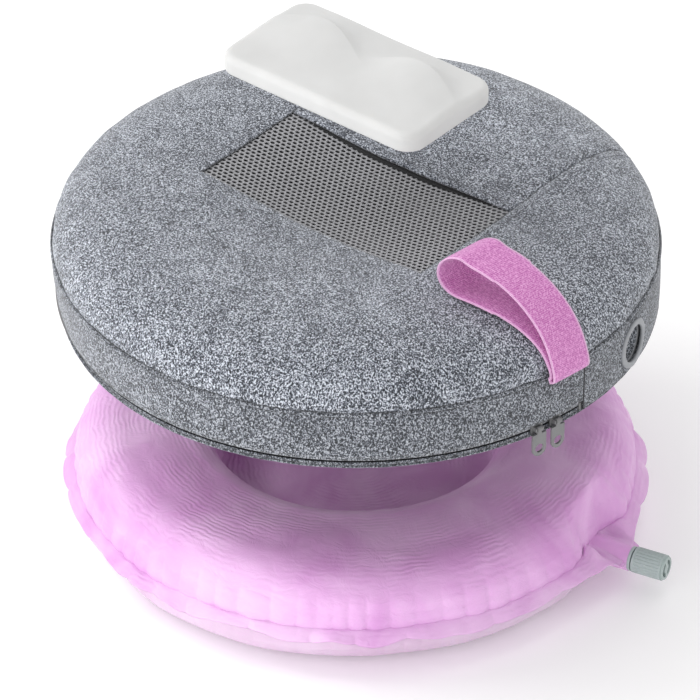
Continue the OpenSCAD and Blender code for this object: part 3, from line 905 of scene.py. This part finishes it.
def skin(prof, npts, sign, seed, amp):
    """r and z of a skin over (th, section), with its puckers, dents and creases; sign is 1 for the upper."""
    section = smooth_profile(prof, npts)
    d = np.gradient(section, axis=0)
    nr, nz = -d[:, 1] * sign, d[:, 0] * sign
    k = np.hypot(nr, nz)
    nr, nz = nr / k, nz / k
    r = section[:, 0][None] + 0 * th[:, None]
    z = section[:, 1][None] + 0 * th[:, None]
    x, y = r * np.cos(th[:, None]), r * np.sin(th[:, None])
    close = step(r, 166, WELD_R)
    folds = -amp * (1 - pleat(th, seed, 78))[:, None] * close ** 4
    wide = 1.0 * wob(a * 19, 2.0, seed + 3, 19)[:, None] * step(r, 120, 185)
    dents = 0.9 * wob(x / 42 + 50, y / 42 + 50, seed + 5) + 0.35 * wob(x / 15 + 50, y / 15 + 50, seed + 7)
    dd = folds + (wide + dents * 0.8) * (1 - 0.85 * step(r, 186, WELD_R)) * step(r, 10, 60)
    dd = np.minimum(dd + 1.6 * step(r, 150, 180) * (1 - step(r, 189, WELD_R)), 2.2)
    if sign > 0:
        # clear of the pocket and the crown in the closed cushion, and creased towards the valve
        dd = dd - 1.5 * (1 - step(r, 100, 115)) - 1.0 * step(r, 112, 122) * (1 - step(r, 150, 165))
        dd = np.minimum(dd, 0.1 + 2.1 * step(r, 152, 180))
        off, inward = np.degrees(bearing(th, VALVE))[:, None], WELD_R - r
        pulls = (1.9 * np.exp(-((off - 9.5 + inward * 0.10) / 0.9) ** 2)
                 + 1.6 * np.exp(-((off - 3.0 + inward * 0.05) / 0.8) ** 2)
                 + 1.5 * np.exp(-((off + 11.5 - inward * 0.12) / 1.0) ** 2))
        dd = dd - pulls * step(r, 166, 180) * (1 - step(r, 189, WELD_R))
    r = r + nr[None] * dd
    z = z + nz[None] * dd
    # the weld dips and is drawn in at the valve
    z = z + (weld_z(th) - WELD_Z)[:, None] * step(r, 172, WELD_R)
    r = r - 12.0 * notch(th)[:, None] * step(r, 172, 191)
    return r, z


r, z = skin(UP, 130, 1, 51, 2.1)
P = cyl(r, th[:, None], z)
upper = grid("cell_upper_skin", P, wrap_u=True, flip=True, body="air_cell", mat=CELL, slot="cell_upper",
             stands=("upper_skin",))
r2, z2 = skin(LO, 80, -1, 61, 1.1)
r2[:, -1] = r[:, -1]
z2 = np.maximum(z2, 0.12)
P = cyl(r2, th[:, None], z2)
lower = grid("cell_lower_skin", P, wrap_u=True, body="air_cell", mat=CELL_LOW, slot="cell_lower",
             stands=("lower_skin",))

# the welded flange, in sectors
e = flange_edge(th)
f = np.linspace(0, 1, 16)
# its waves, calmed and bent down at the valve
ruff = 2.6 * wob(a * 46, 7, 47, 46) + 1.5 * wob(a * 104, 9, 49, 104) - 6.5
ruff = ruff * (1 - bell(th, 11)) - 4.5 * bell(th, 7)
fr = r[:, -1][:, None] - 0.6 + (e - r[:, -1] + 0.6)[:, None] * f[None]
fz = z[:, -1][:, None] + ruff[:, None] * f[None] ** 1.25 + 0.6 * np.sin(PI * f)[None]
fz = fz + relief(NECK * bearing(th, VALVE)[:, None], fr - fr[:, :1])
SECT = 30                                        # sectors of the flange
per = NT // SECT
top_f = cyl(fr, th[:, None], fz + 0.45)
bot_f = cyl(fr, th[:, None], fz - 0.45)
ringp = np.concatenate([top_f, bot_f[:, ::-1]], 1)
for q in range(SECT):
    ids = [(q * per + i) % NT for i in range(per + 1)]
    mid = th[(q * per + per // 2) % NT]
    piece = grid("cell_flange_%02d" % q, ringp[ids], False, True, flip=True, body="air_cell", mat=CELL,
                 slot="cell_upper")
    c_, s_ = math.cos(mid), math.sin(mid)
    inner = fr[ids, 0].min() * MM
    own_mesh(piece)

# foam: a closed block with a raised ring, drawn in a little under the soft skins
FO = np.array([(0.5, 3.0), (120, 3.0), (158, 3.2), (169, 6), (177, 10.5), (181.5, 16), (184.8, 25),
               (185.8, 33), (185.4, 41), (180.5, 49.5), (173, 58.5), (162, 66), (148, 70.2), (130, 71.2),
               (112, 69.3), (105, 66.5), (101.3, 61), (99.5, 40), (98.5, 32.5), (90, 31.2), (0.5, 31.2)])
tf = np.linspace(0, 2 * PI, 180, endpoint=False)
fo_r = FO[None, :, 0] - 13.5 * notch(tf)[:, None] * step(FO[None, :, 0], 160, 184)
P = cyl(fo_r, tf[:, None], FO[None, :, 1])
fo = grid("foam_block", P, wrap_u=True, wrap_v=True, body="air_cell", mat=FOAM, slot="foam",
          stands=("foam_core",))

# valve tab: the two sheets run out round the valve's boot
TUBE = 8.7                                       # the skins' radius over the boot
rad, ww = np.meshgrid(np.linspace(177.0, 207.9, 60), np.linspace(-1, 1, 90), indexing="ij")
t01 = np.clip((rad - 186.5) / 23.5, 0, 1)
lat = ww * (19 - 6 * t01 ** 1.3)
tube_z = VZ + np.sqrt(np.clip(TUBE ** 2 - lat ** 2, 0, None))
sheet_z = WELD_Z - 9.0 * np.exp(-((np.degrees(lat / NECK) / 9) ** 2))
sheet_z = sheet_z - 5.5 * t01 * np.exp(-((lat / 26) ** 2))
k = 2.2
up_z = k * np.log(np.exp(np.clip(tube_z, 0, 60) / k) + np.exp(sheet_z / k)) - 0.8
fade = np.exp(-((np.abs(lat) - 12) / 4) ** 2)
up_z = np.where(np.abs(lat) < 12, up_z, sheet_z + (up_z - sheet_z) * fade)
up_z += 0.8 * wob(lat / 9 + 20, rad / 12, 71) * (0.3 + t01)
thv = VALVE + lat / rad
weld_r = np.interp(thv, th, r[:, -1])
up_z += relief(NECK * (thv - VALVE), rad - weld_r) * (1 - np.exp(-((lat / 9) ** 4)))
P = cyl(rad, thv, up_z)
low_z = np.minimum(up_z - 0.9, sheet_z - 1.2)
tubl = VZ - np.sqrt(np.clip(TUBE ** 2 - lat ** 2, 0, None))
low_z = np.where(np.abs(lat) < TUBE, np.minimum(low_z, tubl - 0.3), low_z)
relax(low_z.T, 2)
Q = cyl(rad, thv, low_z)
nu, nv = P.shape[:2]
verts = np.concatenate([P.reshape(-1, 3), Q.reshape(-1, 3)])
faces = quads(nu, nv) + quads(nu, nv, flip=True, base=nu * nv)
o = nu * nv
for i in range(0, o - nv, nv):
    b = i + nv - 1
    faces += [(i, o + i, o + i + nv, i + nv), (b, b + nv, o + b + nv, o + b)]
for j in range(nv - 1):
    b = o - nv + j
    faces += [(b, o + b, o + b + 1, b + 1), (j, j + 1, o + j + 1, o + j)]
tab = make("cell_valve_tab", verts, faces, body="air_cell", mat=CELL, slot="cell_upper")
c_, s_ = math.cos(VALVE), math.sin(VALVE)
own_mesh(tab)

# ---------------------------------------------------------------- massage pad
PAD_X, PAD_Y, PAD_Z, PAD_C = 82.9, 44.9, 14.0, 14.0    # half length, half width, thickness, corner radius
FLAT, ROUND = 0.15, 5.0                          # the underside's height over PAD; the upper edge's radius


def pad_outline(d, m):
    """Rounded rectangle of m points, drawn in by d."""
    c = max(PAD_C - d, 2.5)
    hx, hy = PAD_X - d - c, PAD_Y - d - c
    pts = []
    for cx, cy, a0 in ((hx, hy, 0), (-hx, hy, 90), (-hx, -hy, 180), (hx, -hy, 270)):
        for t in np.linspace(a0, a0 + 90, 24):
            pts.append((cx + c * math.cos(math.radians(t)), cy + c * math.sin(math.radians(t))))
    pts.append(pts[0])
    pts = np.array(pts)
    s = distances(pts)
    q = np.linspace(0, s[-1], m, endpoint=False)
    return np.stack([np.interp(q, s, pts[:, 0]), np.interp(q, s, pts[:, 1])], -1)


def pad_top(x, y):
    """Height of the pad's top over its underside: two domes, each with a crest and a steep back."""
    h = np.full_like(x, PAD_Z)
    for cx in (-40.0, 42.0):
        u, v = x - cx, y
        crest = 19 - 0.007 * u ** 2 - 0.10 * u
        dv = v - crest
        front = np.exp(-np.abs(np.minimum(dv, 0) / 34.0) ** 2.0)
        back = np.exp(-np.abs(np.maximum(dv, 0) / 9.5) ** 1.15)
        along = np.exp(-np.abs(u / 30.0) ** 2.2)
        h = h + 11.6 * along * np.where(dv < 0, front, back)
    return np.minimum(h - 0.4, 29.4)


# rows from the middle of the underside, round the lower edge, up the wall, over the upper edge and in
m = 320
rows = []
for s_ in (0.0, 0.3, 0.6, 0.85, 0.97):
    rows.append(np.column_stack([pad_outline(2.0, m) * s_, np.full(m, FLAT)]))
for f_ in np.linspace(0, 90, 5):
    q = math.radians(f_)
    o_ = pad_outline(1.6 * (1 - math.sin(q)), m)
    rows.append(np.column_stack([o_, np.full(m, FLAT + 1.6 * (1 - math.cos(q)))]))
for zz_ in (4, 6, 8):
    rows.append(np.column_stack([pad_outline(0.0, m), np.full(m, float(zz_))]))
inner = pad_outline(ROUND, m)
for f_ in np.linspace(0, 90, 9):
    q = math.radians(f_)
    o_ = pad_outline(ROUND * (1 - math.cos(q)), m)
    ht = pad_top(o_[:, 0], o_[:, 1])
    rows.append(np.column_stack([o_, ht - ROUND * (1 - math.sin(q))]))
for s_ in 1 - np.linspace(0, 1, 70)[1:]:
    o_ = inner * max(s_, 0.002)
    rows.append(np.column_stack([o_, pad_top(o_[:, 0], o_[:, 1])]))
P = np.stack(rows, 0)
P[..., 2] += PAD
padp = grid("moulded_pad", P, wrap_v=True, body="pad", mat=PADM, slot="pad_foam", stands=("massage_pad",))

# ---------------------------------------------------------------- CAD nodes that keep their shape
for names, mat in (("valve_boot", CELL), ("valve_body valve_plunger valve_cap", CAP),
                   ("valve_o_ring valve_seal", DARK), ("pocket_liner", LINING), ("zip_tape", ZIPD),
                   ("zip_stop_start zip_stop_end zip_slider_left zip_slider_right", ZIPM),
                   ("zip_pull_left zip_pull_right", ZIPM)):
    for nm in names.split():
        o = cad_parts[nm]
        if not o.material_slots:
            o.data.materials.append(mat)
        for s_ in o.material_slots:
            s_.material = mat

# ---------------------------------------------------------------- floor, light and camera
floor_m, _, fb = material("floor", 0.9)
fb.inputs["Base Color"].default_value = (0.985, 0.985, 0.985, 1)
fb.inputs["Emission Color"].default_value = (1, 1, 1, 1)
fb.inputs["Emission Strength"].default_value = 0.07
bpy.ops.mesh.primitive_plane_add(size=12, location=(0, 0, -0.0005))
floor = bpy.context.object
floor.name = "floor"
floor.data.materials.append(floor_m)

world = bpy.data.worlds.new("studio")
bpy.context.scene.world = world
world.use_nodes = True
bg = world.node_tree.nodes["Background"]
bg.inputs[0].default_value = (1, 1, 1, 1)
bg.inputs[1].default_value = 0.87


def area(name, loc, target, size, power):
    """A square light of that size at loc, turned to target."""
    l = bpy.data.lights.new(name, "AREA")
    l.energy, l.size = power, size
    o = bpy.data.objects.new(name, l)
    bpy.context.scene.collection.objects.link(o)
    o.location = loc
    o.rotation_euler = (Vector(target) - Vector(loc)).to_track_quat("-Z", "Y").to_euler()
    return o


# the camera's bearing, height angle, field of view and distance in m
AZ, EL, FOV, DIST = math.radians(39.5), math.radians(35.4), math.radians(6.17), 4.4
view_back = Vector((math.sin(AZ) * math.cos(EL), -math.cos(AZ) * math.cos(EL), math.sin(EL)))
toward = Vector((view_back.x, view_back.y, 0))
right = Vector((math.cos(AZ), math.sin(AZ), 0))
target = Vector((0, 0, 0.1285)) - right * 0.0040
cam_d = bpy.data.cameras.new("camera")
cam_d.sensor_width = 36
cam_d.lens = 36 / (2 * math.tan(FOV / 2))
cam_d.clip_start, cam_d.clip_end = 0.1, 20
cam = bpy.data.objects.new("camera", cam_d)
bpy.context.scene.collection.objects.link(cam)
cam.location = target + view_back * DIST
cam.rotation_euler = (-view_back).to_track_quat("-Z", "Y").to_euler()
bpy.context.scene.camera = cam
bpy.context.scene.view_settings.view_transform = "Standard"

key = target - right * 1.5 + Vector((0, 0, 1.5)) - toward * 0.3
area("key", key, (0, 0, 0.15), 0.9, 15)
area("top", (0.1, 0.3, 2.2), (0, 0, 0.1), 1.6, 4)
front = toward * 0.95 - right * 0.35 + Vector((0, 0, 0.13))
side_at = toward * 0.45 - right * 0.95 + Vector((0, 0, 0.15))
area("fill", front, (0, 0, 0.03), 0.5, 1.6)
area("side", side_at, (0, 0, 0.05), 0.5, 2.3)
